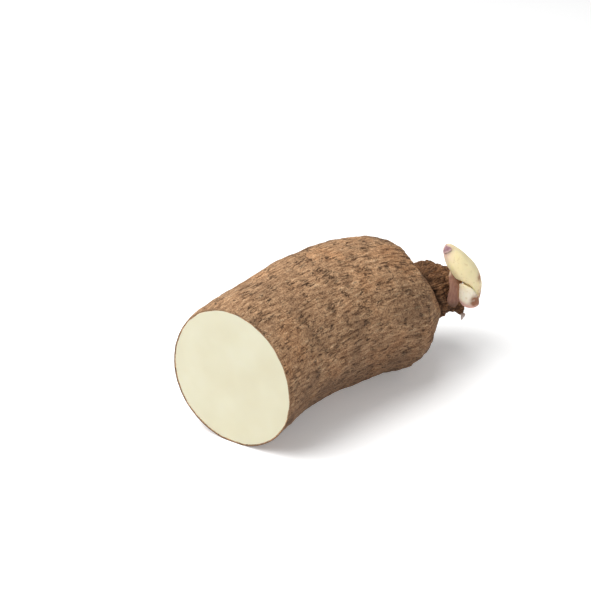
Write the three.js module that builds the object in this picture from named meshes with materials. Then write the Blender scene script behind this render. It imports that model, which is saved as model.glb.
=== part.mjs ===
// Half of a yam: a thick bent tuber cut square at one end, with a crown and one young shoot at the other.
// Millimetres, +Z up. The cut end is towards -X and the crown towards +X.
import * as THREE from "three";

// ---- Tuber: size and course of its centre line ----
const LENGTH = 187;
const CUT_HEADING = 16;
const CROWN_HEADING = -6;
const CROWN_HEIGHT = 38.5;
const SINK = 0.4;

// Radius of the tuber at stations along its length, 0 at the cut and 1 past the crown's end.
const STATION = [0, 0.07, 0.16, 0.28, 0.4, 0.51, 0.61, 0.69, 0.74, 0.78, 0.81, 0.83, 0.845, 0.87, 0.905, 0.94, 0.957, 0.965];
const RADIUS = [41, 42, 42.5, 44, 45.2, 45, 44, 42, 37.5, 31.5, 26.5, 22.5, 19.5, 18.5, 18, 14.5, 8, 0];

// Departures of the cross-section from a circle.
const TALLER = -0.04;
const THREE_SIDED = -0.009;
const HOLLOW_SIDE = -0.15;
const COLLAR_GROOVE = 0.12;
const SHOOT_KNUCKLE = 8.5;
const FAR_KNUCKLE = 2.5;
const LEAN_SIDE = -0.06;
const LEAN_UP = 0.05;
const LEAN_TOP = -0.34;

// ---- Shoot ----
const SHOOT_AXIS = [
  [172.5, -21.3, 35.2],
  [172.9, -23.5, 44],
  [172.9, -24.3, 50],
  [172.2, -23.7, 54],
  [170.7, -22.4, 58],
  [167.8, -19.6, 62.8],
  [165.2, -16.8, 67.6],
  [162.7, -13.9, 73],
  [161, -11.4, 77.6],
];
const SHOOT_STATION = [0, 0.03, 0.08, 0.155, 0.27, 0.36, 0.45, 0.59, 0.73, 0.88, 0.95, 0.985, 1];
const SHOOT_RADIUS = [0, 3, 4.8, 5.8, 5.7, 5.9, 6.4, 7.4, 6.8, 4.9, 3.3, 1.8, 0];
const SHOOT_FRONT = [-0.667, -0.745, 0];
const SHOOT_SIDE = [0.745, -0.667, 0];
const LEAF_GAP = 0.35;
const BROWN_LEAF_AXIS = [
  [163.6, -18.2, 36],
  [161.9, -18.9, 43],
  [162.9, -18.4, 49.4],
  [163.5, -15.8, 54.4],
  [164.9, -13.1, 59],
];
const STUB_AXIS = [[169.18, -21.3, 31.2], [168.88, -21.6, 29.4], [168.28, -21.2, 26.4]];

// ---- Dry roots: each point is a station along the tuber, an angle round it and a height above its skin ----
const ROOT_RADIUS = 0.5;
const ROOT_1 = [[0.885, 108, 1.9], [0.892, 100, 2.4], [0.9, 91, 2.8], [0.902, 80, 3.4]];
const ROOT_2 = [[0.835, 104, 1.9], [0.838, 98, 2.4], [0.846, 94, 2.3], [0.856, 92, 2.1]];

const AROUND = 64;

function material(hex, roughness) {
  return new THREE.MeshStandardMaterial({ color: hex, roughness, metalness: 0 });
}

function clamp(x) {
  return Math.min(Math.max(x, 0), 1);
}

function smoothstep(from, to, x) {
  const t = clamp((x - from) / (to - from));
  return t * t * (3 - 2 * t);
}

function bump(x, centre, width) {
  return Math.exp(-(((x - centre) / width) ** 2));
}

// Smooth curve through (xs, ys) that never overshoots between two points.
function curveThrough(xs, ys, x) {
  const last = xs.length - 1;
  const steps = [];
  const slopes = [];
  for (let i = 0; i < last; i += 1) {
    steps.push(xs[i + 1] - xs[i]);
    slopes.push((ys[i + 1] - ys[i]) / (xs[i + 1] - xs[i]));
  }
  const grades = [slopes[0]];
  for (let i = 1; i < last; i += 1) {
    const before = 2 * steps[i] + steps[i - 1];
    const after = steps[i] + 2 * steps[i - 1];
    const turns = slopes[i - 1] * slopes[i] <= 0;
    grades.push(turns ? 0 : (before + after) / (before / slopes[i - 1] + after / slopes[i]));
  }
  grades.push(slopes[last - 1]);
  let i = 0;
  while (i < last - 1 && x > xs[i + 1]) {
    i += 1;
  }
  const t = clamp((x - xs[i]) / steps[i]);
  const fromStart = ys[i] * (1 + 2 * t) * (1 - t) ** 2 + steps[i] * grades[i] * t * (1 - t) ** 2;
  const fromEnd = ys[i + 1] * t * t * (3 - 2 * t) + steps[i] * grades[i + 1] * t * t * (t - 1);
  return fromStart + fromEnd;
}

// A lathe shape of one turn whose every vertex is then moved to pointAt(v, angle).
// rows are the values of v; the first and last are poles on the axis.
function bentLathe(rows, around, pointAt) {
  const profile = rows.map((v, i) => new THREE.Vector2(i === 0 || i === rows.length - 1 ? 0 : 1, i));
  const geometry = new THREE.LatheGeometry(profile, around);
  const position = geometry.getAttribute("position");
  for (let turn = 0; turn <= around; turn += 1) {
    const angle = ((turn % around) / around) * 2 * Math.PI;
    rows.forEach((v, i) => {
      const pole = i === 0 || i === rows.length - 1;
      const p = pointAt(v, pole ? 0 : angle, pole);
      position.setXYZ(turn * rows.length + i, p.x, p.y, p.z);
    });
  }
  geometry.computeVertexNormals();
  return geometry;
}

// ---- Tuber ----
const radians = THREE.MathUtils.degToRad;
const reach = LENGTH / 3;
const centreLine = new THREE.CubicBezierCurve(
  new THREE.Vector2(0, 0),
  new THREE.Vector2(reach * Math.cos(radians(CUT_HEADING)), reach * Math.sin(radians(CUT_HEADING))),
  new THREE.Vector2(
    LENGTH - reach * Math.cos(radians(CROWN_HEADING)),
    -reach * Math.sin(radians(CROWN_HEADING))
  ),
  new THREE.Vector2(LENGTH, 0)
);

function radiusAt(u, angle) {
  const round = curveThrough(STATION, RADIUS, u);
  const shape = 1 + (1 - u) * (TALLER * Math.cos(2 * angle) + THREE_SIDED * Math.sin(3 * angle));
  const facing = Math.max(Math.cos(angle + 0.6), 0) ** 2;
  const hollow = 1 + HOLLOW_SIDE * Math.sin(Math.PI * clamp(u / 0.75)) * facing;
  const groove = 1 - COLLAR_GROOVE * bump(u, 0.848, 0.016) * (0.5 + 0.5 * Math.cos(angle + 0.3));
  const turned = Math.atan2(Math.sin(angle + 0.4), Math.cos(angle + 0.4));
  const away = Math.atan2(Math.sin(angle - 2.4), Math.cos(angle - 2.4));
  const knuckle = SHOOT_KNUCKLE * bump(u, 0.938, 0.022) * bump(turned, 0, 0.28);
  const second = FAR_KNUCKLE * bump(u, 0.89, 0.03) * bump(away, 0, 0.5);
  return round * shape * hollow * groove + knuckle + second;
}

function lowestOf(u) {
  let low = 0;
  for (let k = 0; k < AROUND; k += 1) {
    const angle = (k / AROUND) * 2 * Math.PI;
    low = Math.max(low, -radiusAt(u, angle) * Math.sin(angle));
  }
  return low;
}

function centreHeight(u) {
  const resting = lowestOf(Math.min(u, 0.7));
  const lifted = clamp((u - 0.6) / 0.4);
  return (1 - lifted) * resting + lifted * CROWN_HEIGHT - SINK;
}

function tuberPoint(u, angle, pole) {
  const middle = centreLine.getPoint(u);
  const ahead = centreLine.getTangent(u);
  const radius = pole ? 0 : radiusAt(u, angle);
  const across = radius * Math.cos(angle);
  const up = radius * Math.sin(angle);
  const shoulder = smoothstep(0.6, 0.8, u) * clamp((0.9 - u) / 0.07);
  const top = smoothstep(0.7, 0.81, u) * clamp((0.93 - u) / 0.08) * Math.max(up, 0);
  const along = shoulder * (LEAN_SIDE * across + LEAN_UP * up) + LEAN_TOP * top;
  return new THREE.Vector3(
    middle.x + across * ahead.y + along * ahead.x,
    middle.y - across * ahead.x + along * ahead.y,
    Math.max(centreHeight(u) + up, 0)
  );
}

// Point at a height above the skin, straight out from the tuber's centre line.
function aboveSkin(u, angle, rise) {
  const skin = tuberPoint(u, angle, false);
  const middle = tuberPoint(u, angle, true);
  return skin.addScaledVector(skin.clone().sub(middle).normalize(), rise);
}

function tuber() {
  const rows = [0];
  for (let i = 0; i <= 24; i += 1) {
    rows.push((i / 24) * 0.72);
  }
  for (let i = 1; i <= 15; i += 1) {
    rows.push(0.72 + (i / 15) * 0.22);
  }
  rows.push(0.95, 0.957, 0.962, 0.965);
  return bentLathe(rows, AROUND, (u, angle, pole) => tuberPoint(u, -angle, pole));
}

// ---- Shoot and the leaves wrapped round it ----
const shootAxis = new THREE.CatmullRomCurve3(SHOOT_AXIS.map((p) => new THREE.Vector3(...p)), false, "centripetal");

// Point at distance r from the shoot's axis; angle 0 faces the front and a quarter turn faces its left.
function aroundShoot(v, angle, r) {
  const middle = shootAxis.getPointAt(v);
  const ahead = shootAxis.getTangentAt(v);
  const front = new THREE.Vector3(...SHOOT_FRONT);
  front.addScaledVector(ahead, -front.dot(ahead)).normalize();
  const left = new THREE.Vector3().crossVectors(front, ahead);
  middle.addScaledVector(front, r * Math.cos(angle));
  middle.addScaledVector(left, r * Math.sin(angle));
  return middle;
}

function shootRadius(v) {
  return curveThrough(SHOOT_STATION, SHOOT_RADIUS, v);
}

function mainShoot() {
  const rows = [0, 0.01, 0.025, 0.045];
  for (let i = 1; i <= 15; i += 1) {
    rows.push(0.045 + (i / 15) * 0.9);
  }
  rows.push(0.965, 0.982, 0.993, 1);
  return bentLathe(rows, 24, (v, angle, pole) => aroundShoot(v, -angle, pole ? 0 : shootRadius(v)));
}

// A leaf that hugs the shoot: its section at v is a thin crescent between two angles.
function wrappedLeaf(from, to, thickness, middleAt, halfAt) {
  const rows = [];
  for (let i = 0; i <= 14; i += 1) {
    rows.push(i / 14);
  }
  return bentLathe(rows, 20, (w, turn, pole) => {
    const v = from + (to - from) * w;
    const swell = pole ? 0 : Math.sqrt(Math.sin(Math.PI * clamp(0.04 + 0.92 * w)));
    const angle = middleAt(w) + (pole ? 0 : halfAt(w) * Math.cos(turn));
    const outward = 0.5 + 0.5 * Math.sin(turn);
    return aroundShoot(v, angle, shootRadius(v) + LEAF_GAP + (pole ? 0.3 : 0.1 + thickness * swell * outward));
  });
}

function paleScaleLeaf() {
  const half = (w) => radians(62) * Math.sqrt(clamp(Math.sin(Math.PI * (0.08 + 0.92 * w) ** 0.5)));
  return wrappedLeaf(0.04, 0.46, 3.1, (w) => radians(2 + 55 * w), half);
}

// A bud, blade or stub: oval sections along a bent axis, blunt at its start and pointed at its end.
function taperedBud(points, radius, flatness, sharpness, around) {
  const axis = new THREE.CatmullRomCurve3(points.map((p) => new THREE.Vector3(...p)));
  const rows = [0, 0.04, 0.1, 0.2, 0.32, 0.45, 0.58, 0.7, 0.81, 0.9, 0.96, 1];
  return bentLathe(rows, around, (v, angle, pole) => {
    const middle = axis.getPoint(v);
    const ahead = axis.getTangent(v);
    const side = new THREE.Vector3(...SHOOT_SIDE);
    side.addScaledVector(ahead, -side.dot(ahead)).normalize();
    const other = new THREE.Vector3().crossVectors(ahead, side);
    const r = pole ? 0 : radius * Math.min(Math.sqrt(v / 0.2), 1) * (1 - v) ** sharpness;
    middle.addScaledVector(side, r * Math.cos(angle));
    middle.addScaledVector(other, r * flatness * Math.sin(angle));
    return middle;
  });
}

function brownScaleLeaf() {
  return taperedBud(BROWN_LEAF_AXIS, 4.2, 0.2, 0.5, 20);
}

function tipLeaf() {
  const half = (w) => radians(44) * Math.sqrt(clamp(Math.sin(Math.PI * (0.08 + 0.92 * w) ** 0.7)));
  return wrappedLeaf(0.925, 0.99, 0.45, (w) => radians(16 - 6 * w), half);
}

function rootStub() {
  return taperedBud(STUB_AXIS, 1.8, 0.8, 0.6, 14);
}

function dryRoot(course) {
  const path = new THREE.CatmullRomCurve3(course.map(([u, angle, rise]) => aboveSkin(u, radians(angle), rise)));
  const outline = new THREE.Shape();
  outline.absarc(0, 0, ROOT_RADIUS, 0, 2 * Math.PI, false);
  return new THREE.ExtrudeGeometry(outline, { extrudePath: path, steps: 10, curveSegments: 8 });
}

function add(group, name, geometry, look) {
  const mesh = new THREE.Mesh(geometry, look);
  mesh.name = name;
  group.add(mesh);
}

function halfYam() {
  const group = new THREE.Group();
  group.name = "half_yam";
  add(group, "tuber", tuber(), material(0x93714f, 0.85));
  add(group, "main_shoot", mainShoot(), material(0xf5ecc5, 0.45));
  add(group, "tip_leaf", tipLeaf(), material(0x8a5f66, 0.55));
  add(group, "brown_scale_leaf", brownScaleLeaf(), material(0x9a7050, 0.7));
  add(group, "pale_scale_leaf", paleScaleLeaf(), material(0xf3e6c8, 0.5));
  add(group, "root_stub", rootStub(), material(0xc9bcb6, 0.7));
  add(group, "root_1", dryRoot(ROOT_1), material(0xc9a87c, 0.8));
  add(group, "root_2", dryRoot(ROOT_2), material(0xc9a87c, 0.8));
  const box = new THREE.Box3().setFromObject(group);
  const centre = box.getCenter(new THREE.Vector3());
  group.children.forEach((mesh) => mesh.geometry.translate(-centre.x, -centre.y, -box.min.z));
  return group;
}

export default halfYam();
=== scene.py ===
"""Half of a yam with one young shoot, resting on a pale floor.

Metres, +Z up. The knife cut faces -X, the crown and its shoot are at +X.
"""

import logging
import math
from dataclasses import dataclass, field
from enum import Enum

import bpy
import numpy as np
from mathutils import Matrix, Vector


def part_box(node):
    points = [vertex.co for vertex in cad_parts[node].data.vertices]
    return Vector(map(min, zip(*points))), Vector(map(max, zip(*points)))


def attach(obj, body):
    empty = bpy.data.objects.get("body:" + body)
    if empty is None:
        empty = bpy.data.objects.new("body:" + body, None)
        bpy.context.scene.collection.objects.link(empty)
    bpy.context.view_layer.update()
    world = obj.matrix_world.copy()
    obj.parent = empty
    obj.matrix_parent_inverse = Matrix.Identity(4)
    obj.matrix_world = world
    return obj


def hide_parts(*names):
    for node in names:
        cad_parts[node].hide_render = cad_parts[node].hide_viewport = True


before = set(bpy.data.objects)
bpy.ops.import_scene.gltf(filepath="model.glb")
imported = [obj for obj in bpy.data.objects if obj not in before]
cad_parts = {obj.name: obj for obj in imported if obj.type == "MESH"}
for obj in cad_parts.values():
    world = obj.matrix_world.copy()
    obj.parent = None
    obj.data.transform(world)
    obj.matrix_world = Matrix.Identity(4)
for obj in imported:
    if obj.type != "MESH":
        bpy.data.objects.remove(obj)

log = logging.getLogger("half_yam")
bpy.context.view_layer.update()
MM = 0.001


# ---------------------------------------------------------------- small helpers


def smooth(start: float, end: float, x: np.ndarray) -> np.ndarray:
    """Smooth step from 0 at start to 1 at end."""
    t = np.clip((np.asarray(x, float) - start) / (end - start), 0.0, 1.0)
    return t * t * (3.0 - 2.0 * t)


def bump(x: np.ndarray, centre: float, width: float) -> np.ndarray:
    """Bell curve of height 1 about centre."""
    return np.exp(-(((x - centre) / width) ** 2))


def turn_between(angle: np.ndarray, centre: float) -> np.ndarray:
    """Signed turn from centre to angle, in radians, from -pi to pi."""
    return np.arctan2(np.sin(angle - centre), np.cos(angle - centre))


def curve_through(xs: list[float], ys: list[float], x: np.ndarray) -> np.ndarray:
    """Smooth curve through points that never overshoots between two of them.

    Args:
        xs: Places of the points, rising.
        ys: Heights of the points.
        x: Where the curve is read.

    Returns:
        The curve's height at each x.
    """
    px, py, x = np.asarray(xs, float), np.asarray(ys, float), np.asarray(x, float)
    step = np.diff(px)
    slope = np.diff(py) / step
    grade = np.zeros(len(px))
    grade[0], grade[-1] = slope[0], slope[-1]
    for i in range(1, len(px) - 1):
        if slope[i - 1] * slope[i] > 0:
            before, after = 2 * step[i] + step[i - 1], step[i] + 2 * step[i - 1]
            grade[i] = (before + after) / (before / slope[i - 1] + after / slope[i])
    i = np.clip(np.searchsorted(px, x) - 1, 0, len(step) - 1)
    t = np.clip((x - px[i]) / step[i], 0.0, 1.0)
    start = py[i] * (1 + 2 * t) * (1 - t) ** 2 + step[i] * grade[i] * t * (1 - t) ** 2
    end = py[i + 1] * t * t * (3 - 2 * t) + step[i] * grade[i + 1] * t * t * (t - 1)
    return start + end


class Noise:
    """Seeded gradient noise in space, so that every run grows the same yam."""

    def __init__(self, seed: int) -> None:
        """Shuffle the lattice.

        Args:
            seed: Number that the shuffle starts from.
        """
        rng = np.random.RandomState(seed)
        self.order = np.tile(rng.permutation(256), 2)
        slopes = rng.normal(size=(256, 3))
        self.slopes = slopes / np.linalg.norm(slopes, axis=1, keepdims=True)

    def at(self, points: np.ndarray) -> np.ndarray:
        """Noise of about -1 to 1 at an array of points.

        Args:
            points: Array whose last axis holds x, y and z in noise cells.

        Returns:
            One value for each point.
        """
        cell = np.floor(points).astype(int)
        inside = points - cell
        ease = inside**3 * (inside * (inside * 6 - 15) + 10)
        cell &= 255
        total = np.zeros(points.shape[:-1])
        for corner in range(8):
            step = np.array([corner & 1, corner >> 1 & 1, corner >> 2 & 1])
            x, y, z = np.moveaxis((cell + step) & 255, -1, 0)
            slope = self.slopes[self.order[self.order[self.order[x] + y] + z]]
            weight = np.prod(np.where(step, ease, 1 - ease), axis=-1)
            total += weight * np.sum(slope * (inside - step), axis=-1)
        return total * 1.7

    def layered(self, points: np.ndarray, layers: int, share: float = 0.5) -> np.ndarray:
        """Several sizes of noise added up, each half as large as the last.

        Args:
            points: Array whose last axis holds x, y and z in noise cells.
            layers: How many sizes are added.
            share: Strength of each size against the one before it.

        Returns:
            One value for each point.
        """
        total, strength = np.zeros(points.shape[:-1]), 1.0
        for layer in range(layers):
            total += strength * self.at(points * 2.0**layer + 17.3 * layer)
            strength *= share
        return total


def colour(hex_code: str) -> tuple[float, float, float, float]:
    """Turn an sRGB hex colour into linear light.

    Args:
        hex_code: The colour as # and six hex digits.

    Returns:
        Linear red, green, blue and alpha.
    """
    values = [int(hex_code[i : i + 2], 16) / 255 for i in (1, 3, 5)]
    linear = [v / 12.92 if v <= 0.04045 else ((v + 0.055) / 1.055) ** 2.4 for v in values]
    return (linear[0], linear[1], linear[2], 1.0)


def blend_colours(shares: list[tuple[np.ndarray, str]], base: str) -> np.ndarray:
    """Lay tints over a base colour at each point.

    Args:
        shares: Pairs of a cover from 0 to 1 and a hex colour, laid in order.
        base: Hex colour under all of them.

    Returns:
        Linear RGBA at each point.
    """
    result = np.ones(shares[0][0].shape + (4,)) * np.array(colour(base))
    for cover, tint in shares:
        amount = np.clip(cover, 0, 1)[..., None]
        result = result * (1 - amount) + amount * np.array(colour(tint))
    return result


def closed_grid(rows: int, around: int) -> np.ndarray:
    """Quads of a tube of rings that are numbered row by row.

    Args:
        rows: Number of rings.
        around: Points on each ring.

    Returns:
        Array of quads facing out when the rings turn clockwise seen from the last one.
    """
    index = np.arange(rows * around).reshape(rows, around)
    here, ahead = index[:-1], index[1:]
    quads = np.stack([here, ahead, np.roll(ahead, -1, 1), np.roll(here, -1, 1)], -1)
    return quads.reshape(-1, 4)


def cap(ring: np.ndarray, middle: int, flip: bool) -> list[tuple[int, int, int]]:
    """Triangles from a ring of point numbers to the point in its middle."""
    pairs = zip(ring, np.roll(ring, -1))
    return [(int(b), int(a), middle) if flip else (int(a), int(b), middle) for a, b in pairs]


def mesh_object(name: str, points: np.ndarray, faces: list, body: str = "root") -> bpy.types.Object:
    """Make a smooth-shaded mesh object with every face turned outwards.

    Args:
        name: Name of the object.
        points: Points in millimetres in the row frame.
        faces: Lists of point numbers.
        body: Name of the body that the piece rides on.

    Returns:
        The new object.
    """
    mesh = bpy.data.meshes.new(name)
    mesh.from_pydata((points * MM).tolist(), [], [tuple(int(k) for k in f) for f in faces])
    mesh.validate()
    if signed_volume(mesh) < 0:
        mesh.flip_normals()
    mesh.polygons.foreach_set("use_smooth", [True] * len(mesh.polygons))
    mesh.update()
    obj = bpy.data.objects.new(name, mesh)
    bpy.context.scene.collection.objects.link(obj)
    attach(obj, body)
    return obj


def signed_volume(mesh: bpy.types.Mesh) -> float:
    """Volume that a mesh encloses.

    Args:
        mesh: The mesh, which is closed.

    Returns:
        Its volume, below zero if its faces point in.
    """
    mesh.calc_loop_triangles()
    points = np.array([v.co[:] for v in mesh.vertices])
    corners = points[np.array([t.vertices[:] for t in mesh.loop_triangles])]
    return float(np.einsum("ij,ij->i", corners[:, 0], np.cross(corners[:, 1], corners[:, 2])).sum()) / 6


def store(obj: bpy.types.Object, name: str, values: np.ndarray) -> None:
    """Keep one value, vector or colour for each point of a mesh.

    Args:
        obj: The mesh object.
        name: Name that the material reads.
        values: Array with one row for each point: a number, 3 numbers or 4 numbers.
    """
    width = 1 if values.ndim == 1 else values.shape[1]
    kind, key = {1: ("FLOAT", "value"), 3: ("FLOAT_VECTOR", "vector"), 4: ("FLOAT_COLOR", "color")}[width]
    attribute = obj.data.attributes.new(name, kind, "POINT")
    attribute.data.foreach_set(key, np.ascontiguousarray(values, np.float32).ravel())


# ---------------------------------------------------------------- finishes


class Slot(Enum):
    """Material slot names."""

    BARK = "bark"
    SHOOT = "shoot_skin"
    LEAF = "young_leaf"
    DRY_SCALE = "dry_scale"
    FRESH_SCALE = "fresh_scale"
    STUB = "stub_skin"
    ROOT = "dry_root"


def plug(tree: bpy.types.NodeTree, node: bpy.types.Node, **links: object) -> None:
    """Fill the input sockets of a node.

    Args:
        tree: The material's node tree.
        node: The node.
        **links: Input sockets by name, with _ for a space and in0 for the first input. Each is
            a constant, or an output socket that is linked to it.
    """
    for key, value in links.items():
        place = int(key[2:]) if key[:2] == "in" and key[2:].isdigit() else key.replace("_", " ")
        socket = node.inputs[place]
        if isinstance(value, bpy.types.NodeSocket):
            tree.links.new(value, socket)
        else:
            socket.default_value = value


def add_node(
    tree: bpy.types.NodeTree, kind: str, settings: dict | None = None, **links: object
) -> bpy.types.Node:
    """Add one shader node.

    Args:
        tree: The material's node tree.
        kind: Blender's type name of the node.
        settings: Values set on the node itself, such as its operation. Under the key stops it holds
            a colour ramp's stops, as pairs of a place from 0 to 1 and a hex colour.
        **links: Input sockets, as in plug.

    Returns:
        The new node.
    """
    node = tree.nodes.new(kind)
    settings = dict(settings or {})
    stops = settings.pop("stops", [])
    for key, value in settings.items():
        setattr(node, key, value)
    elements = node.color_ramp.elements if stops else []
    while len(elements) < len(stops):
        elements.new(0.5)
    for element, (place, hex_code) in zip(elements, stops):
        element.position = place
        element.color = colour(hex_code)
    plug(tree, node, **links)
    return node


def new_material(name: str) -> tuple[bpy.types.Material, bpy.types.NodeTree, bpy.types.Node]:
    """Make an empty material.

    Args:
        name: Name of the material.

    Returns:
        The material, its node tree and its Principled BSDF.
    """
    material = bpy.data.materials.new(name)
    material.use_nodes = True
    tree = material.node_tree
    return material, tree, tree.nodes["Principled BSDF"]


MULTIPLY = {"data_type": "RGBA", "blend_type": "MULTIPLY"}
COVER = {"data_type": "RGBA", "blend_type": "MIX"}


@dataclass(frozen=True)
class Bark:
    """Cork skin of a yam, dried in the ground: dull brown, split lengthwise, paler on its ridges."""

    fibre_spacing_mm: float = 1.6
    fibre_length_mm: float = 7.0
    split_size: tuple[float, float] = (0.6, 0.62)
    split_edge: tuple[float, float] = (0.006, 0.03)
    split_field_mm: float = 6.25
    grit_mm: float = 1.0
    patch_mm: float = 26.0
    relief_mm: float = 1.1
    fibre_stops: tuple[tuple[float, str], ...] = (
        (0.27, "#735742"), (0.38, "#A98667"), (0.48, "#C9A482"), (0.6, "#E2BD98"), (0.74, "#FFE6C4"),
    )
    grit_stops: tuple[tuple[float, str], ...] = ((0.34, "#6F6156"), (0.46, "#D0C4B8"), (0.58, "#FFF8EE"))
    patch_stops: tuple[tuple[float, str], ...] = ((0.3, "#A39A92"), (0.5, "#EFE8DF"), (0.68, "#FFE8D0"))
    crown_tint: str = "#B89A80"
    # Dark brown laid where the tuber carries painted shade, in its recesses and towards its underside, and
    # for the dark line in the bark rim at the cut and the crown's end.
    dark_mark_and_painted_shade_colour: str = "#38231A"
    split_colour: str = "#3E2817"
    roughness: float = 0.86
    ior: float = 1.45
    shine: float = 0.3

    def splits(self, tree: bpy.types.NodeTree, flow: bpy.types.NodeSocket) -> bpy.types.NodeSocket:
        """Thin dark splits along the fibres, broken off here and there.

        Args:
            tree: The material's node tree.
            flow: Place on the skin in millimetres.

        Returns:
            Output that is 1 in a split and 0 beside it.
        """
        along = self.split_size[0] / self.fibre_length_mm
        across = self.split_size[1] / self.fibre_spacing_mm
        place = add_node(
            tree, "ShaderNodeMapping", Vector=flow, Location=(3.1, 7.7, 1.9), Scale=(along, across, across)
        ).outputs[0]
        wander = add_node(
            tree, "ShaderNodeTexNoise", Vector=place, Scale=1.0, Detail=4.0, Roughness=0.6, Distortion=0.7
        ).outputs["Fac"]
        off_middle = add_node(tree, "ShaderNodeMath", {"operation": "SUBTRACT"}, in0=wander, in1=0.5)
        distance = add_node(tree, "ShaderNodeMath", {"operation": "ABSOLUTE"}, in0=off_middle.outputs[0])
        inner, outer = self.split_edge
        line = add_node(
            tree, "ShaderNodeMapRange", Value=distance.outputs[0],
            From_Min=inner, From_Max=outer, To_Min=1.0, To_Max=0.0,
        ).outputs[0]
        fields = add_node(
            tree, "ShaderNodeTexNoise", Vector=flow, Scale=1 / self.split_field_mm, Detail=2.0, Roughness=0.6
        ).outputs["Fac"]
        present = add_node(tree, "ShaderNodeMapRange", Value=fields, From_Min=0.48, From_Max=0.62).outputs[0]
        return add_node(tree, "ShaderNodeMath", {"operation": "MULTIPLY"}, in0=line, in1=present).outputs[0]

    def cork_colour(
        self, tree: bpy.types.NodeTree, flow: bpy.types.NodeSocket,
        fibres: bpy.types.NodeSocket, grit: bpy.types.NodeSocket,
    ) -> bpy.types.NodeSocket:
        """Colour of the cork without its splits: fibres, dusted with grit, in paler and greyer patches.

        Args:
            tree: The material's node tree.
            flow: Place on the skin in millimetres.
            fibres: Noise drawn out along the tuber.
            grit: Fine noise.

        Returns:
            Colour output.
        """
        patches = add_node(
            tree, "ShaderNodeTexNoise", Vector=flow, Scale=1 / self.patch_mm, Detail=3.0, Roughness=0.55
        ).outputs["Fac"]
        fibre_colour = add_node(
            tree, "ShaderNodeValToRGB", {"stops": self.fibre_stops}, in0=fibres
        ).outputs[0]
        grit_colour = add_node(tree, "ShaderNodeValToRGB", {"stops": self.grit_stops}, in0=grit).outputs[0]
        patch_tint = add_node(tree, "ShaderNodeValToRGB", {"stops": self.patch_stops}, in0=patches).outputs[0]
        gritty = add_node(
            tree, "ShaderNodeMix", MULTIPLY, in0=0.75, in6=fibre_colour, in7=grit_colour
        ).outputs[2]
        return add_node(tree, "ShaderNodeMix", MULTIPLY, in0=0.6, in6=gritty, in7=patch_tint).outputs[2]

    def material(self) -> bpy.types.Material:
        """Build the bark's material.

        Returns:
            The material, which reads the attributes bark_flow, hollow and crown.
        """
        material, tree, shader = new_material("yam_bark")
        flow = add_node(tree, "ShaderNodeAttribute", {"attribute_name": "bark_flow"}).outputs["Vector"]
        dark_marks_and_painted_shade = add_node(tree, "ShaderNodeAttribute", {"attribute_name": "dark_marks_and_painted_shade"}).outputs["Fac"]
        crown = add_node(tree, "ShaderNodeAttribute", {"attribute_name": "crown"}).outputs["Fac"]
        # The skin stretches lengthwise as the tuber swells, so its fibres and splits are long and thin.
        along, across = 1 / self.fibre_length_mm, 1 / self.fibre_spacing_mm
        stretched = add_node(tree, "ShaderNodeMapping", Vector=flow, Scale=(along, across, across))
        fibres = add_node(
            tree, "ShaderNodeTexNoise", Vector=stretched.outputs[0],
            Scale=1.0, Detail=4.0, Roughness=0.66, Distortion=0.35,
        ).outputs["Fac"]
        grit = add_node(
            tree, "ShaderNodeTexNoise", Vector=flow, Scale=1 / self.grit_mm, Detail=3.0, Roughness=0.7
        ).outputs["Fac"]
        cork = self.cork_colour(tree, flow, fibres, grit)
        splits = self.splits(tree, flow)
        crown_share = add_node(tree, "ShaderNodeMath", {"operation": "MULTIPLY"}, in0=crown, in1=0.6)
        crowned = add_node(
            tree, "ShaderNodeMix", MULTIPLY, in0=crown_share.outputs[0], in6=cork, in7=colour(self.crown_tint)
        ).outputs[2]
        # Painted shade: the cork is mixed towards dark brown in the tuber's recesses and towards its
        # underside; the same mix draws the dark line in the bark rim at the cut and darkens the crown's end.
        with_dark_marks_and_painted_shade = add_node(
            tree, "ShaderNodeMix", COVER, in0=dark_marks_and_painted_shade, in6=crowned, in7=colour(self.dark_mark_and_painted_shade_colour)
        ).outputs[2]
        split_share = add_node(tree, "ShaderNodeMath", {"operation": "MULTIPLY"}, in0=splits, in1=0.78)
        split_skin = add_node(
            tree, "ShaderNodeMix", COVER,
            in0=split_share.outputs[0], in6=with_dark_marks_and_painted_shade, in7=colour(self.split_colour),
        ).outputs[2]
        height = add_node(tree, "ShaderNodeMath", {"operation": "SUBTRACT"}, in0=fibres, in1=splits)
        rough_height = add_node(
            tree, "ShaderNodeMath", {"operation": "MULTIPLY_ADD"}, in0=grit, in1=0.45, in2=height.outputs[0]
        )
        relief = add_node(
            tree, "ShaderNodeBump", Strength=1.0, Distance=self.relief_mm * MM, Height=rough_height.outputs[0]
        ).outputs["Normal"]
        plug(
            tree, shader, Base_Color=split_skin, Normal=relief,
            Roughness=self.roughness, IOR=self.ior, Specular_IOR_Level=self.shine,
        )
        return material


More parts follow.
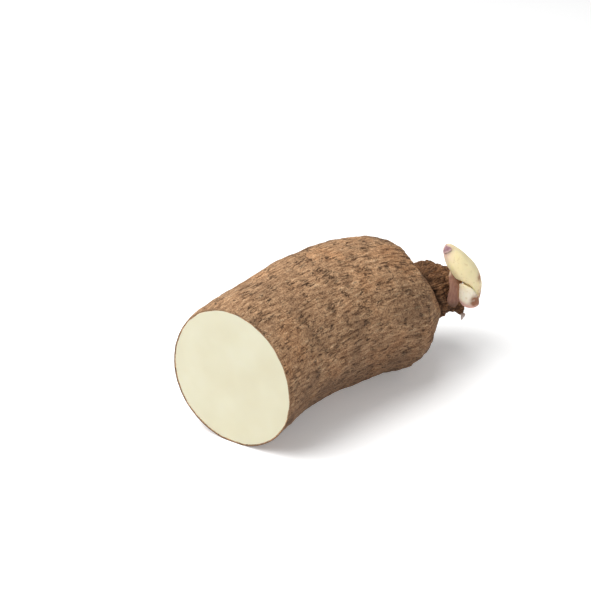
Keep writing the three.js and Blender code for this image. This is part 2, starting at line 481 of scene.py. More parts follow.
@dataclass(frozen=True)
class CutFlesh:
    """Starchy flesh fresh from the knife: even ivory, damp but not shiny, a little light passes into it."""

    base: str = "#CFCAB0"
    pale: str = "#D2CEB6"
    warm: str = "#CCC6AB"
    roughness: float = 0.52
    ior: float = 1.38
    cloud_mm: float = 22.0
    cell_mm: float = 1.6
    relief_mm: float = 0.12
    glow_mm: float = 2.0

    def material(self) -> bpy.types.Material:
        """Build the flesh's material.

        Returns:
            The material, which reads the attribute bark_flow for its place in millimetres.
        """
        material, tree, shader = new_material("yam_flesh")
        place = add_node(tree, "ShaderNodeAttribute", {"attribute_name": "bark_flow"}).outputs["Vector"]
        clouds = add_node(
            tree, "ShaderNodeTexNoise", Vector=place, Scale=1 / self.cloud_mm, Detail=2.0, Roughness=0.5
        ).outputs["Fac"]
        stops = [(0.3, self.warm), (0.52, self.base), (0.75, self.pale)]
        tint = add_node(tree, "ShaderNodeValToRGB", {"stops": stops}, in0=clouds).outputs["Color"]
        grains = add_node(tree, "ShaderNodeTexNoise", Vector=place, Scale=1 / self.cell_mm, Detail=2.0)
        relief = add_node(
            tree, "ShaderNodeBump", Strength=0.18, Distance=self.relief_mm * MM, Height=grains.outputs["Fac"]
        ).outputs["Normal"]
        plug(
            tree, shader, Base_Color=tint, Normal=relief, Roughness=self.roughness, IOR=self.ior,
            Subsurface_Weight=0.2, Subsurface_Radius=(1.0, 0.75, 0.45), Subsurface_Scale=self.glow_mm * MM,
        )
        return material


@dataclass(frozen=True)
class LivingSkin:
    """Skin of young growth: waxy and slightly see-through, its colours painted point by point."""

    name: str
    roughness: float
    speck_mm: float
    relief_mm: float
    through: float
    ior: float = 1.4
    glow_mm: float = 1.5

    def material(self) -> bpy.types.Material:
        """Build the skin's material.

        Returns:
            The material, which reads the attributes growth_colour and bark_flow.
        """
        material, tree, shader = new_material(self.name)
        paint = add_node(tree, "ShaderNodeAttribute", {"attribute_name": "growth_colour"}).outputs["Color"]
        place = add_node(tree, "ShaderNodeAttribute", {"attribute_name": "bark_flow"}).outputs["Vector"]
        specks = add_node(
            tree, "ShaderNodeTexNoise", Vector=place, Scale=1 / self.speck_mm, Detail=3.0, Roughness=0.6
        ).outputs["Fac"]
        stops = [(0.3, "#DCCFB4"), (0.42, "#FFFFFF")]
        speck_colour = add_node(tree, "ShaderNodeValToRGB", {"stops": stops}, in0=specks).outputs["Color"]
        tinted = add_node(tree, "ShaderNodeMix", MULTIPLY, in0=0.5, in6=paint, in7=speck_colour).outputs[2]
        relief = add_node(
            tree, "ShaderNodeBump", Strength=0.5, Distance=self.relief_mm * MM, Height=specks
        ).outputs["Normal"]
        plug(
            tree, shader, Base_Color=tinted, Normal=relief, Roughness=self.roughness, IOR=self.ior,
            Subsurface_Weight=self.through, Subsurface_Radius=(1.0, 0.7, 0.35),
            Subsurface_Scale=self.glow_mm * MM,
        )
        return material


# ---------------------------------------------------------------- tuber


FLESH_FLOW = np.array([300.0, 0.0, 0.0])


@dataclass
class Patchwork:
    """Points, their paint and the faces of a mesh while it is put together."""

    points: list[np.ndarray] = field(default_factory=list)
    flows: list[np.ndarray] = field(default_factory=list)
    # Darkness of each point: mostly painted shade, with the dark line in the bark rim at the cut.
    dark_marks_and_painted_shades: list[np.ndarray] = field(default_factory=list)
    crowns: list[np.ndarray] = field(default_factory=list)
    faces: list = field(default_factory=list)

    def add(
        self, points: np.ndarray, flow: np.ndarray, dark_marks_and_painted_shade: np.ndarray | float, crown: np.ndarray | float
    ) -> np.ndarray:
        """Add points with their paint.

        Args:
            points: Rows of x, y and z.
            flow: Place on the skin of each.
            dark_marks_and_painted_shade: Darkness of each, or one for all.
            crown: How far each belongs to the crown, or one for all.

        Returns:
            The numbers of the new points.
        """
        start = sum(len(group) for group in self.points)
        self.points.append(points)
        self.flows.append(flow)
        self.dark_marks_and_painted_shades.append(np.broadcast_to(dark_marks_and_painted_shade, len(points)))
        self.crowns.append(np.broadcast_to(crown, len(points)))
        return np.arange(start, start + len(points))


@dataclass
class Tuber:
    """Flesh, bark and crown of the yam, which grew as one piece. Sizes in millimetres."""

    length: float = 187.0
    cut_heading: float = math.radians(16)
    crown_heading: float = math.radians(-6)
    crown_height: float = 38.5
    sink: float = 0.4
    taller: float = -0.04
    three_sided: float = -0.009
    hollow_side: float = 0.15
    collar_groove: float = 0.12
    shoot_knuckle: float = 8.5
    far_knuckle: float = 2.5
    lean_side: float = -0.06
    lean_up: float = 0.05
    lean_top: float = -0.34
    station: list[float] = field(default_factory=lambda: [
        0, 0.07, 0.16, 0.28, 0.4, 0.51, 0.61, 0.69, 0.74, 0.78, 0.81, 0.83,
        0.845, 0.87, 0.905, 0.94, 0.957, 0.965,
    ])
    radius: list[float] = field(default_factory=lambda: [
        41, 42, 42.5, 44, 45.2, 45, 44, 42, 37.5, 31.5, 26.5, 22.5,
        19.5, 18.5, 18, 14.5, 8, 0,
    ])
    rows_body: int = 165
    rows_crown: int = 130
    around: int = 312
    bark_thickness: float = 0.85
    bark_length: float = 195.0
    bark_radius: float = 44.0
    fold_length: float = 13.0
    fold_spacing: float = 3.4
    fold_height: float = 0.7
    split_depth: float = 0.65
    knob_size: float = 6.5
    pit_size: float = 4.2
    seed: int = 11

    def centre_line(self, u: np.ndarray) -> tuple[np.ndarray, np.ndarray]:
        """Course of the tuber seen from above.

        Args:
            u: Places from 0 at the cut to 1 past the crown.

        Returns:
            Points and unit headings, each with x and y.
        """
        reach = self.length / 3
        start, end = np.zeros(2), np.array([self.length, 0.0])
        leave = start + reach * np.array([math.cos(self.cut_heading), math.sin(self.cut_heading)])
        arrive = end - reach * np.array([math.cos(self.crown_heading), math.sin(self.crown_heading)])
        t = np.asarray(u, float)[:, None]
        point = (1 - t) ** 3 * start + 3 * (1 - t) ** 2 * t * leave
        point += 3 * (1 - t) * t * t * arrive + t**3 * end
        heading = (1 - t) ** 2 * (leave - start) + 2 * (1 - t) * t * (arrive - leave) + t * t * (end - arrive)
        return point, heading / np.linalg.norm(heading, axis=1, keepdims=True)

    def plain_radius(self, u: np.ndarray, angle: np.ndarray) -> np.ndarray:
        """Radius of the smooth tuber.

        Args:
            u: Places along it, as a column.
            angle: Angles round it, as a row.

        Returns:
            Rings by points.
        """
        around = curve_through(self.station, self.radius, u[:, 0])[:, None]
        shape = 1 + (1 - u) * (self.taller * np.cos(2 * angle) + self.three_sided * np.sin(3 * angle))
        facing = np.maximum(np.cos(angle + 0.6), 0) ** 2
        side_hollow = 1 - self.hollow_side * np.sin(math.pi * np.clip(u / 0.75, 0, 1)) * facing
        groove = 1 - self.collar_groove * bump(u, 0.848, 0.016) * (0.5 + 0.5 * np.cos(angle + 0.3))
        knuckle = self.shoot_knuckle * bump(u, 0.938, 0.022) * bump(turn_between(angle, -0.4), 0, 0.28)
        second = self.far_knuckle * bump(u, 0.89, 0.03) * bump(turn_between(angle, 2.4), 0, 0.5)
        return around * shape * side_hollow * groove + knuckle + second

    def surface(self, u: np.ndarray, angle: np.ndarray, proud: np.ndarray | float = 0.0) -> np.ndarray:
        """Points of the tuber's skin, in the part's own layout.

        Args:
            u: Places along the tuber, one for each ring.
            angle: Angles round it, one for each point of a ring.
            proud: Height of the skin above the smooth tuber.

        Returns:
            Array of rings by points by x, y and z.
        """
        column, row = u[:, None], angle[None]
        point, heading = self.centre_line(u)
        plain = self.plain_radius(column, row)
        radius = np.maximum(plain + proud, 0) if np.ndim(proud) else plain
        low = np.max(-plain * np.sin(row), axis=1)
        held = self.plain_radius(np.array([[0.7]]), row)
        low_held = float(np.max(-held * np.sin(row)))
        resting = np.where(u < 0.7, low, low_held)
        lifted = np.clip((u - 0.6) / 0.4, 0, 1)
        middle = (1 - lifted) * resting + lifted * self.crown_height - self.sink
        across, up = radius * np.cos(row), radius * np.sin(row)
        shoulder = smooth(0.6, 0.8, column) * np.clip((0.9 - column) / 0.07, 0, 1)
        top = smooth(0.7, 0.81, column) * np.clip((0.93 - column) / 0.08, 0, 1) * np.maximum(up, 0)
        along = shoulder * (self.lean_side * across + self.lean_up * up) + self.lean_top * top
        side = np.stack([heading[:, 1], -heading[:, 0]], -1)
        flat = point[:, None] + across[..., None] * side[:, None] + along[..., None] * heading[:, None]
        return np.dstack([flat, np.maximum(middle[:, None] + up, 0.0)])

    def offset(self) -> np.ndarray:
        """Find where the part's own layout lies in the row frame.

        Returns:
            Shift in millimetres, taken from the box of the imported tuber.
        """
        low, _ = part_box("tuber")
        u, angle = self.rings(), self.angles()
        smooth_skin = self.surface(u, angle)
        own = smooth_skin.reshape(-1, 3).min(0)
        return np.array([low[0] / MM - own[0], low[1] / MM - own[1], 0.0])

    def rings(self) -> np.ndarray:
        """Space the rings, closer together on the crown, where the shape is finer.

        Returns:
            Their places along the tuber, rising.
        """
        body = np.linspace(0, 0.72, self.rows_body, endpoint=False)
        crown = 0.72 + 0.245 * (1 - (1 - np.linspace(0, 1, self.rows_crown)) ** 1.15)
        return np.concatenate([body, crown[:-1]])

    def angles(self) -> np.ndarray:
        """Angles of the points on each ring, counted from the right-hand side."""
        return np.linspace(0, 2 * math.pi, self.around, endpoint=False)

    def relief(self, u: np.ndarray, angle: np.ndarray, flow: np.ndarray) -> tuple[np.ndarray, np.ndarray]:
        """Lumps, wrinkles, splits and crevices of the skin, and the painted shade laid in them and towards
        the underside.

        Args:
            u: Places of the rings.
            angle: Angles of the points.
            flow: Place on the skin in millimetres: along, then twice round.

        Returns:
            Height above the smooth tuber in millimetres, and painted shade from 0 to 1: darker in the collar
            groove, pits, crevices and splits and towards the underside.
        """
        column, row = u[:, None], angle[None]
        lumps, wrinkles, knobs = Noise(self.seed), Noise(self.seed + 1), Noise(self.seed + 2)
        broad = 0.75 * lumps.layered(flow / 24, 2) + 0.35 * lumps.layered(flow / 9 + 5, 2)
        wave = 1.4 * lumps.at(flow / np.array([self.fold_length, 30.0, 30.0]) + 9)
        fold_size = np.array([self.fold_length, self.fold_spacing, self.fold_spacing])
        stretched = flow / fold_size + wave[..., None] * np.array([0.0, 0.5, 0.5])
        fold = wrinkles.layered(stretched, 2, 0.55)
        strength = 0.35 + 0.65 * smooth(0.2, 0.7, column)
        split = smooth(0.88, 1.0, 1 - np.abs(wrinkles.at(stretched * np.array([1.2, 0.9, 0.9]) + 31)) * 1.5)
        broken = smooth(0.0, 0.35, lumps.at(flow / np.array([9.0, 6.0, 6.0]) + 3))
        splits = split * broken * strength
        crown = smooth(0.80, 0.86, column) + 0 * row
        place = self.surface(u, angle)
        billow = np.abs(knobs.layered(place / self.knob_size, 3, 0.55))
        crevice_wave = 0.006 * lumps.at(flow / 7 + 21)
        collar = bump(column + crevice_wave, 0.846, 0.011) * (0.45 + 0.55 * np.cos(row / 2 + 0.1) ** 2)
        pits = smooth(0.35, 0.75, knobs.at(place / self.pit_size + 40)) * smooth(0.76, 0.84, column)
        end = smooth(0.965, 0.93, column)
        folds = self.fold_height * fold * strength * (1 - crown)
        rough = broad * (1 - 0.3 * crown) + folds - self.split_depth * splits
        knobbly = crown * (2.4 * billow - 1.5) * (0.3 + 0.7 * end) - 2.6 * collar - 1.1 * pits
        edge = smooth(0.0, 0.012, column)
        height = (rough - 0.15) * (0.25 + 0.75 * edge) + knobbly
        # Painted shade in the crevices between the crown's knobs.
        painted_crevice_shade = crown * smooth(0.22, 0.0, billow) * 0.6
        # Painted shade: the bark darkens towards the tuber's underside, less on the crown.
        painted_underside_shade = 0.55 * smooth(0.6, -0.6, np.sin(row)) * (1 - 0.5 * crown)
        # Painted shade laid in the collar groove, the pits, the crevices and the splits, and towards the
        # underside.
        dark = np.clip(0.7 * collar + 0.6 * pits + painted_crevice_shade + 0.4 * splits * (1 - crown) + painted_underside_shade, 0, 0.95)
        return height, dark

    def close_cut(self, patches: Patchwork, edge: np.ndarray, flow: np.ndarray) -> None:
        """Close the cut end with rings: two of bark, then flesh in to the middle.

        Args:
            patches: The mesh so far, whose first points are the skin's edge at the cut.
            edge: Those points.
            flow: Their places on the skin.
        """
        middle = edge.mean(0)
        middle[:2] = 0.0
        lower_left = np.maximum(np.cos(self.angles() - 4.0), 0)
        thickness = self.bark_thickness * (1 + 0.35 * Noise(5).at(flow / 6) + 0.6 * lower_left)
        span = np.linalg.norm(edge - middle, axis=1)
        shares = [1 - 0.45 * thickness / span, 1 - thickness / span]
        shares += [s * (1 - thickness / span) for s in (0.985, 0.93, 0.82, 0.66, 0.48, 0.3, 0.14)]
        previous = np.arange(self.around)
        for step, share in enumerate(shares):
            ring = middle + (edge - middle) * share[:, None]
            current = patches.add(ring, ring + FLESH_FLOW, 0.25 if step == 0 else 0.0, 0.0)
            quads = np.stack([previous, np.roll(previous, -1), np.roll(current, -1), current], -1)
            patches.faces += quads.tolist()
            previous = current
        centre = patches.add(middle[None], middle[None] + FLESH_FLOW, 0.0, 0.0)
        patches.faces += cap(previous, int(centre[0]), True)

    def build(self) -> bpy.types.Object:
        """Build the tuber and its cut face, and dress them.

        Returns:
            The tuber's object.
        """
        u, angle = self.rings(), self.angles()
        column, row = u[:, None], angle[None]
        turned = self.bark_radius * np.dstack([np.cos(row) + 0 * column, np.sin(row) + 0 * column])
        flow = np.dstack([column * self.bark_length + 0 * row, turned])
        height, dark = self.relief(u, angle, flow)
        skin = self.surface(u, angle, height)
        crown = smooth(0.79, 0.87, column) + 0 * row
        patches = Patchwork()
        grid = patches.add(skin.reshape(-1, 3), flow.reshape(-1, 3), dark.ravel(), crown.ravel())
        patches.faces += closed_grid(len(u), self.around).tolist()
        tip = self.surface(np.array(self.station[-1:]), angle[:1]).reshape(-1, 3)
        end = patches.add(tip, flow[-1, :1], 0.3, 1.0)
        patches.faces += cap(grid[-self.around :], int(end[0]), False)
        flesh_from = len(patches.faces) + 2 * self.around
        self.close_cut(patches, skin[0], flow[0])
        obj = mesh_object("yam_tuber", np.vstack(patches.points) + self.offset(), patches.faces)
        store(obj, "bark_flow", np.vstack(patches.flows))
        store(obj, "dark_marks_and_painted_shade", np.concatenate(patches.dark_marks_and_painted_shades))
        store(obj, "crown", np.concatenate(patches.crowns))
        self.dress(obj, flesh_from)
        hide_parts("tuber")
        return obj

    def dress(self, obj: bpy.types.Object, flesh_from: int) -> None:
        """Give the skin its bark and the cut its flat flesh, with a sharp edge between them.

        Args:
            obj: The tuber's object.
            flesh_from: Number of the first face of flesh.
        """
        obj.data.materials.append(Bark().material())
        obj.data.materials.append(CutFlesh().material())
        is_flesh = np.arange(len(obj.data.polygons)) >= flesh_from
        obj.data.polygons.foreach_set("material_index", is_flesh.astype(np.int32))
        obj.data.polygons.foreach_set("use_smooth", ~is_flesh)
        rim = obj.data.attributes.new("sharp_edge", "BOOLEAN", "EDGE")
        sharp = [max(edge.vertices) < self.around for edge in obj.data.edges]
        rim.data.foreach_set("value", sharp)


# ---------------------------------------------------------------- shoot, leaves, roots


def spline(points: np.ndarray, t: np.ndarray) -> tuple[np.ndarray, np.ndarray]:
    """Smooth course through points, read by its share of length.

    Args:
        points: Points that it passes through.
        t: Shares of its length from 0 to 1.

    Returns:
        Points on the course and unit headings.
    """
    points = np.asarray(points, float)
    ends = np.vstack([2 * points[0] - points[1], points, 2 * points[-1] - points[-2]])
    fine = []
    for i in range(len(points) - 1):
        a, b, c, d = ends[i : i + 4]
        w = np.linspace(0, 1, 40, endpoint=False)[:, None]
        bend, twist = 2 * a - 5 * b + 4 * c - d, 3 * b - a - 3 * c + d
        fine.append(0.5 * (2 * b + (c - a) * w + bend * w**2 + twist * w**3))
    course = np.vstack(fine + [points[-1:]])
    lengths = np.concatenate([[0], np.cumsum(np.linalg.norm(np.diff(course, axis=0), axis=1))])
    where = np.asarray(t, float) * lengths[-1]
    place = np.stack([np.interp(where, lengths, course[:, k]) for k in range(3)], -1)
    tangent = np.gradient(course, axis=0)
    heading = np.stack([np.interp(where, lengths, tangent[:, k]) for k in range(3)], -1)
    return place, heading / np.linalg.norm(heading, axis=1, keepdims=True)


def frame_along(heading: np.ndarray, towards: np.ndarray) -> tuple[np.ndarray, np.ndarray]:
    """Two directions square to each heading.

    Args:
        heading: Unit headings.
        towards: Direction that the first one faces.

    Returns:
        The facing directions, and the directions to their left.
    """
    facing = towards - np.sum(heading * towards, axis=1, keepdims=True) * heading
    facing /= np.linalg.norm(facing, axis=1, keepdims=True)
    return facing, np.cross(facing, heading)


def tube_object(
    name: str, rings: np.ndarray, tint: np.ndarray, skin: LivingSkin, node: str
) -> bpy.types.Object:
    """Make a closed piece from rings of points, painted point by point.

    Args:
        name: Name of the object.
        rings: Rings by points by x, y and z, in millimetres in the row frame.
        tint: Linear RGBA for each of those points.
        skin: Its finish.
        node: CAD node that it replaces.

    Returns:
        The new object.
    """
    count, around = rings.shape[:2]
    ends = np.stack([rings[0].mean(0), rings[-1].mean(0)])
    points = np.vstack([rings.reshape(-1, 3), ends])
    faces = closed_grid(count, around).tolist()
    faces += cap(np.arange((count - 1) * around, count * around), count * around + 1, False)
    faces += cap(np.arange(around), count * around, True)
    obj = mesh_object(name, points, faces)
    paint = np.vstack([tint.reshape(-1, 4), tint[0, :1], tint[-1, :1]])
    store(obj, "growth_colour", paint)
    store(obj, "bark_flow", points)
    obj.data.materials.append(skin.material())
    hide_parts(node)
    return obj


@dataclass(frozen=True)
class WrappedLeaf:
    """Shape of a leaf that hugs the shoot. Thickness in millimetres, angles in degrees."""

    start: float
    end: float
    thickness: float
    middle: float
    turn: float
    half: float
    widening: float


@dataclass(frozen=True)
class Blade:
    """Shape of a bud, blade or stub, blunt at its start and pointed at its end. In millimetres."""

    course: tuple[tuple[float, float, float], ...]
    radius: float
    flatness: float
    sharpness: float


@dataclass
class Shoot:
    """The young shoot and the leaves wrapped round its foot. Sizes in millimetres, in the part's layout."""

    axis: list[list[float]] = field(default_factory=lambda: [
        [172.5, -21.3, 35.2], [172.9, -23.5, 44], [172.9, -24.3, 50], [172.2, -23.7, 54],
        [170.7, -22.4, 58], [167.8, -19.6, 62.8], [165.2, -16.8, 67.6], [162.7, -13.9, 73],
        [161, -11.4, 77.6],
    ])
    station: list[float] = field(default_factory=lambda: [
        0, 0.03, 0.08, 0.155, 0.27, 0.36, 0.45, 0.59, 0.73, 0.88, 0.95, 0.985, 1,
    ])
    radius: list[float] = field(default_factory=lambda: [
        0, 3, 4.8, 5.8, 5.7, 5.9, 6.4, 7.4, 6.8, 4.9, 3.3, 1.8, 0,
    ])
    front: tuple[float, float, float] = (-0.667, -0.745, 0.0)
    side: tuple[float, float, float] = (0.745, -0.667, 0.0)
    gap: float = 0.35
    pale_scale: WrappedLeaf = WrappedLeaf(0.04, 0.46, 3.1, 2, 55, 62, 0.5)
    mauve_tip: WrappedLeaf = WrappedLeaf(0.925, 0.99, 0.45, 16, -6, 44, 0.7)
    brown_scale: Blade = Blade(
        (
            (163.6, -18.2, 36), (161.9, -18.9, 43), (162.9, -18.4, 49.4),
            (163.5, -15.8, 54.4), (164.9, -13.1, 59),
        ),
        4.2, 0.2, 0.5,
    )
    stub: Blade = Blade(((169.18, -21.3, 31.2), (168.88, -21.6, 29.4), (168.28, -21.2, 26.4)), 1.8, 0.8, 0.6)
    shift: np.ndarray = field(default_factory=lambda: np.zeros(3))

    def around(self, v: np.ndarray, angle: np.ndarray, out: np.ndarray) -> np.ndarray:
        """Points round the shoot's axis.

        Args:
            v: Places along it, one for each ring.
            angle: Angle of each point: 0 faces the front and a quarter turn its left.
            out: Distance of each point from the axis.

        Returns:
            Rings by points by x, y and z in the row frame.
        """
        place, heading = spline(np.array(self.axis), v)
        facing, left = frame_along(heading, np.array(self.front))
        flat = facing[:, None] * np.cos(angle)[..., None] + left[:, None] * np.sin(angle)[..., None]
        return place[:, None] + out[..., None] * flat + self.shift

    def shoot_radius(self, v: np.ndarray) -> np.ndarray:
        """Radius of the plain shoot."""
        return curve_through(self.station, self.radius, v)

    def build_shoot(self) -> bpy.types.Object:
        """Build the shoot: a waxy spear whose outer leaf ends in a free edge low on its left.

        Returns:
            The shoot's object.
        """
        v = np.linspace(0.004, 0.998, 150)
        angle = np.linspace(0, 2 * math.pi, 96, endpoint=False)[None] + 0 * v[:, None]
        column = v[:, None]
        noise = Noise(31)
        out = self.shoot_radius(v)[:, None] + 0 * angle
        place = self.around(v, angle, out)
        free_edge = 0.31 + 0.26 * np.sin(angle)
        left = smooth(-0.25, 0.15, np.cos(angle - 0.5))
        below = smooth(0.012, -0.004, column - free_edge) * left
        ribs = 0.09 * np.cos(angle * 9 + 2.5 * column) * smooth(1.0, 0.7, column)
        out = out + 0.15 * noise.layered(place / 7, 2) + ribs - 0.75 * below
        rings = self.around(v, angle, out)
        # Painted shadow: an ochre band just below the outer leaf's free edge, where the edge overhangs the
        # shoot.
        painted_edge_shadow = bump(column - free_edge, -0.012, 0.016) * left
        mauve = smooth(0.86, 0.95, column) * np.clip(np.cos(angle - 0.1), 0, 1) ** 1.5
        pink = smooth(0.74, 0.92, column) * np.clip(np.cos(angle - 1.2), 0, 1)
        spot = bump(column, 0.42, 0.045) * bump(turn_between(angle, -1.1), 0, 0.35)
        spot = spot + 1.3 * bump(column, 0.22, 0.08) * bump(turn_between(angle, -1.05), 0, 0.42)
        rust = np.clip(spot * (1.1 + 0.8 * noise.at(place / 1.8)), 0, 1)
        edge = np.clip(-np.cos(angle), 0, 1) * 0.25
        tint = blend_colours(
            [
                (edge, "#EAD29C"), (pink * 0.85, "#F3D6CB"), (mauve * 0.8, "#A87F8A"),
                (painted_edge_shadow * 0.75, "#B58A3C"), (rust * 0.95, "#A05F2A"),
            ],
            "#FFEEBE",
        )
        waxy = LivingSkin("shoot_wax", 0.4, 2.2, 0.12, 0.25)
        return tube_object("young_shoot", rings, tint, waxy, "main_shoot")

    def wrap(self, leaf: WrappedLeaf) -> tuple[np.ndarray, np.ndarray, np.ndarray]:
        """Rings of a leaf that hugs the shoot; its section is a thin crescent.

        Args:
            leaf: Its shape.

        Returns:
            Rings in the row frame, places along it as a column and angles on the shoot.
        """
        w = np.linspace(0.0, 1.0, 70)
        turn = np.linspace(0, 2 * math.pi, 64, endpoint=False)[None]
        column = w[:, None]
        swell = np.sqrt(np.sin(math.pi * np.clip(0.04 + 0.92 * column, 0, 1)))
        widest = np.sin(math.pi * (0.08 + 0.92 * column) ** leaf.widening)
        cover = math.radians(leaf.half) * np.sqrt(np.clip(widest, 0.0004, 1))
        angle = math.radians(leaf.middle) + math.radians(leaf.turn) * column + cover * np.cos(turn)
        v = leaf.start + (leaf.end - leaf.start) * w
        rise = leaf.thickness * swell * (0.5 + 0.5 * np.sin(turn))
        out = self.shoot_radius(v)[:, None] + self.gap + 0.1 + rise
        place = self.around(v, angle, out)
        out = out + 0.12 * Noise(41).layered(place / 3, 2) * swell
        return self.around(v, angle, out), column, angle

    def build_pale_scale(self) -> bpy.types.Object:
        """Build the pale scale that cups the shoot's foot, with its pink and rust-coloured rim.

        Returns:
            The scale's object.
        """
        rings, column, angle = self.wrap(self.pale_scale)
        patchy = Noise(42).at(rings / 2.2)
        low = smooth(0.36, 0.14, column) + 0 * angle
        right = smooth(math.radians(20), math.radians(-12), angle)
        rust = np.clip(right * bump(column, 0.38, 0.2) * (1.4 + 0.8 * patchy), 0, 1)
        upper = np.clip(smooth(0.55, 0.9, column) * 0.45 + 0 * angle, 0, 1)
        tint = blend_colours(
            [(upper, "#F3DFAC"), (low * 0.8, "#E5A196"), (rust * 0.95, "#8E5029")],
            "#FFF6E0",
        )
        waxy = LivingSkin("pale_scale_wax", 0.45, 1.8, 0.15, 0.2)
        return tube_object("pale_scale", rings, tint, waxy, "pale_scale_leaf")

    def lay_blade(self, blade: Blade) -> tuple[np.ndarray, np.ndarray, np.ndarray]:
        """Rings of a bud, blade or stub.

        Args:
            blade: Its shape.

        Returns:
            Rings, the places along it as a column and the angles round it as a row.
        """
        v = np.concatenate([np.linspace(0.002, 0.1, 14), np.linspace(0.12, 0.998, 60)])
        angle = np.linspace(0, 2 * math.pi, 40, endpoint=False)[None]
        place, heading = spline(np.array(blade.course), v)
        side, other = frame_along(heading, np.array(self.side))
        r = blade.radius * np.minimum(np.sqrt(v / 0.2), 1) * (1 - v) ** blade.sharpness
        across = side[:, None] * np.cos(angle)[..., None]
        through = blade.flatness * other[:, None] * np.sin(angle)[..., None]
        return place[:, None] + r[:, None, None] * (across + through) + self.shift, v[:, None], angle

    def roughen(self, rings: np.ndarray, seed: int, size: float, amount: float) -> np.ndarray:
        """Push each ring's points in and out.

        Args:
            rings: Rings by points by x, y and z.
            seed: Number that the noise starts from.
            size: Size of its lumps in millimetres.
            amount: Height of its lumps in millimetres.

        Returns:
            The roughened rings.
        """
        middle = rings.mean(1, keepdims=True)
        away = rings - middle
        reach = np.linalg.norm(away, axis=2, keepdims=True) + 1e-9
        noise = Noise(seed).layered(rings / size, 2)[..., None]
        return rings + away / reach * noise * np.minimum(amount, reach * 0.35)

    def build_brown_scale(self) -> bpy.types.Object:
        """Build the dry, papery scale on the shoot's left, with its cream tip.

        Returns:
            The scale's object.
        """
        rings, column, angle = self.lay_blade(self.brown_scale)
        # Its right-hand edge turns out behind the shoot.
        curl = 3.4 * smooth(0.3, 0.72, column) * smooth(1.0, 0.86, column) * np.clip(np.cos(angle), 0, 1) ** 2
        rings = rings + curl[..., None] * (np.array(self.side) - 0.6 * np.array(self.front))
        rings = self.roughen(rings, 51, 2.6, 0.28)
        streak = Noise(52).layered(rings / np.array([1.2, 1.2, 7.0]), 2)
        cream = smooth(0.82, 0.95, column) * np.clip(0.4 - np.cos(angle), 0, 1)
        foot = smooth(0.3, 0.05, column) + 0 * angle
        # Painted shade: an ochre-brown band on the scale's right-hand side, where it meets the shoot.
        painted_shade_by_shoot = smooth(0.45, 0.9, np.cos(angle)) * smooth(0.2, 0.5, column)
        tint = blend_colours(
            [
                (np.clip(0.5 + streak, 0, 1) * 0.6, "#B58A72"), (painted_shade_by_shoot * 0.6, "#A3783F"),
                (foot * 0.8, "#5E4330"), (cream, "#EBD2B0"),
            ],
            "#94695A",
        )
        papery = LivingSkin("dry_scale_paper", 0.68, 0.9, 0.3, 0.05)
        return tube_object("brown_scale", rings, tint, papery, "brown_scale_leaf")

    def build_tip_leaf(self) -> bpy.types.Object:
        """Build the small mauve leaf that lies on the shoot's tip.

        Returns:
            The leaf's object.
        """
        rings, column, angle = self.wrap(self.mauve_tip)
        foot = 0.75 * smooth(0.45, 0.0, column) + 0.2 * np.abs(np.sin(angle * 3))
        tint = blend_colours([(foot, "#D9B9B4")], "#8D6571")
        thin = LivingSkin("mauve_leaf_skin", 0.5, 1.0, 0.1, 0.15)
        return tube_object("mauve_leaf_tip", rings, tint, thin, "tip_leaf")

    def build_stub(self) -> bpy.types.Object:
        """Build the small pale stub that points down under the shoot.

        Returns:
            The stub's object.
        """
        rings, column, angle = self.lay_blade(self.stub)
        rings = self.roughen(rings, 71, 1.6, 0.2)
        tint = blend_colours([(smooth(0.6, 0.0, column) + 0 * angle, "#A08B80")], "#CFC2BC")
        dull = LivingSkin("pale_stub_skin", 0.65, 0.9, 0.15, 0.1)
        return tube_object("pale_stub", rings, tint, dull, "root_stub")


# Points of each root: place along the tuber, angle round it in degrees and height above its skin.
ROOT_COURSES = [
    [(0.885, 108, 1.9), (0.892, 100, 2.4), (0.9, 91, 2.8), (0.902, 80, 3.4)],
    [(0.835, 104, 1.9), (0.838, 98, 2.4), (0.846, 94, 2.3), (0.856, 92, 2.1)],
]


@dataclass
class DryRoot:
    """A dry curled root that lies on the crown. Its course is given on the tuber's skin."""

    name: str
    node: str
    course: list[tuple[float, float, float]]
    radius: float = 0.5

    def build(self, tuber: Tuber, shift: np.ndarray) -> bpy.types.Object:
        """Build the root above the tuber's skin.

        Args:
            tuber: The tuber that it lies on.
            shift: Shift from the part's layout to the row frame.

        Returns:
            The root's object.
        """
        path = []
        for u, degrees, rise in self.course:
            angle = np.array([math.radians(degrees)])
            skin = tuber.surface(np.array([u]), angle)[0, 0]
            inner = tuber.surface(np.array([u]), angle, np.array([[-8.0]]))[0, 0]
            outward = (skin - inner) / np.linalg.norm(skin - inner)
            path.append(skin + outward * rise)
        v = np.linspace(0, 1, 60)
        place, heading = spline(np.array(path), v)
        side, other = frame_along(heading, np.array([0.2, 0.1, 1.0]))
        turn = np.linspace(0, 2 * math.pi, 14, endpoint=False)[None]
        width = self.radius * (0.95 - 0.45 * v + 0.12 * np.sin(v * 23))[:, None, None]
        ring = side[:, None] * np.cos(turn)[..., None] + other[:, None] * np.sin(turn)[..., None]
        rings = place[:, None] + width * ring + shift
        tint = blend_colours([(smooth(0.45, 0.0, v)[:, None] + 0 * turn, "#8F6B48")], "#EBD3AC")
        dry = LivingSkin(self.name + "_skin", 0.75, 0.8, 0.1, 0.05)
        return tube_object(self.name, rings, tint, dry, self.node)


# ---------------------------------------------------------------- setting


@dataclass(frozen=True)
class Lamp:
    """A soft square lamp: its place right of, beyond and above the yam, its side in metres, its power."""

    name: str
    right: float
    ahead: float
    up: float
    size: float
    watts: float


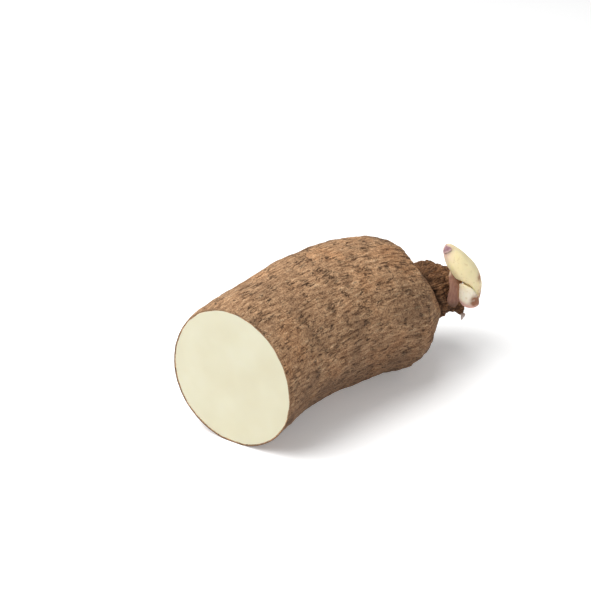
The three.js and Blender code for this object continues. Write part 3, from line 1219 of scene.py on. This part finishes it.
@dataclass
class Studio:
    """White floor, soft light and camera. Lengths in metres."""

    target: tuple[float, float, float] = (0.0622, 0.1024, 0.0)
    elevation: float = math.radians(27.9)
    distance: float = 0.957
    right: tuple[float, float, float] = (0.745, -0.667, 0.0)
    ahead: tuple[float, float, float] = (0.667, 0.745, 0.0)
    lens: float = 85.0
    aim: tuple[float, float, float] = (0.0, 0.0, 0.04)
    lamps: tuple[Lamp, ...] = (
        Lamp("key", -0.9, -0.3, 1.0, 1.0, 15.0),
        Lamp("top", -0.35, 0.1, 1.3, 1.0, 9.0),
    )
    sky: float = 0.34
    floor_glow: float = 0.22

    def camera(self) -> bpy.types.Object:
        """Place the camera, which looks down on the yam from the side of its cut.

        Returns:
            The camera's object.
        """
        data = bpy.data.cameras.new("camera")
        data.lens, data.sensor_width, data.sensor_fit = self.lens, 36.0, "HORIZONTAL"
        data.clip_start, data.clip_end = 0.01, 50
        back = -Vector(self.ahead) * math.cos(self.elevation) + Vector((0, 0, math.sin(self.elevation)))
        right = Vector(self.right).normalized()
        back.normalize()
        up = back.cross(right)
        obj = bpy.data.objects.new("camera", data)
        turn = Matrix((right, up, back)).transposed().to_4x4()
        obj.matrix_world = Matrix.Translation(Vector(self.target) + back * self.distance) @ turn
        bpy.context.scene.collection.objects.link(obj)
        bpy.context.scene.camera = obj
        return obj

    def floor(self) -> None:
        """Lay the white floor, which glows a little so that the shadows on it stay pale."""
        mesh = bpy.data.meshes.new("floor")
        mesh.from_pydata([(-8, -8, 0), (8, -8, 0), (8, 8, 0), (-8, 8, 0)], [], [(0, 1, 2, 3)])
        obj = bpy.data.objects.new("floor", mesh)
        bpy.context.scene.collection.objects.link(obj)
        material, tree, shader = new_material("white_floor")
        plug(
            tree, shader, Base_Color=colour("#FFFFFF"), Emission_Color=colour("#FFFFFF"),
            Emission_Strength=self.floor_glow, Roughness=0.9, Specular_IOR_Level=0.1,
        )
        mesh.materials.append(material)

    def hang(self, lamp: Lamp) -> None:
        """Hang one lamp, which faces the yam.

        Args:
            lamp: Its place, size and power.
        """
        data = bpy.data.lights.new(lamp.name, "AREA")
        data.size, data.energy = lamp.size, lamp.watts
        obj = bpy.data.objects.new(lamp.name, data)
        away = Vector(self.right) * lamp.right + Vector(self.ahead) * lamp.ahead + Vector((0, 0, lamp.up))
        obj.location = Vector(self.aim) + away
        obj.rotation_euler = (-away).to_track_quat("-Z", "Y").to_euler()
        bpy.context.scene.collection.objects.link(obj)

    def lights(self) -> None:
        """Hang the lamps, high on the left and overhead, and fill the room with a pale sky."""
        for lamp in self.lamps:
            self.hang(lamp)
        world = bpy.data.worlds.new("studio")
        world.use_nodes = True
        background = world.node_tree.nodes["Background"]
        plug(world.node_tree, background, Color=colour("#FFFFFF"), Strength=self.sky)
        bpy.context.scene.world = world
        bpy.context.scene.view_settings.view_transform = "Standard"


def main() -> None:
    """Build every piece in order, then the setting, and note the sizes."""
    logging.basicConfig(level=logging.INFO, format="%(message)s")
    tuber = Tuber()
    shift = tuber.offset()
    shoot = Shoot(shift=shift)
    pieces = [
        tuber.build(),
        shoot.build_shoot(),
        shoot.build_pale_scale(),
        shoot.build_brown_scale(),
        shoot.build_tip_leaf(),
        shoot.build_stub(),
    ]
    roots = [
        DryRoot(f"dry_root_{number}", f"root_{number}", course)
        for number, course in enumerate(ROOT_COURSES, 1)
    ]
    pieces += [root.build(tuber, shift) for root in roots]
    for piece in pieces:
        log.info("%s: %d points, %d faces", piece.name, len(piece.data.vertices), len(piece.data.polygons))
    studio = Studio()
    studio.camera()
    studio.floor()
    studio.lights()


if __name__ == "__main__":
    main()
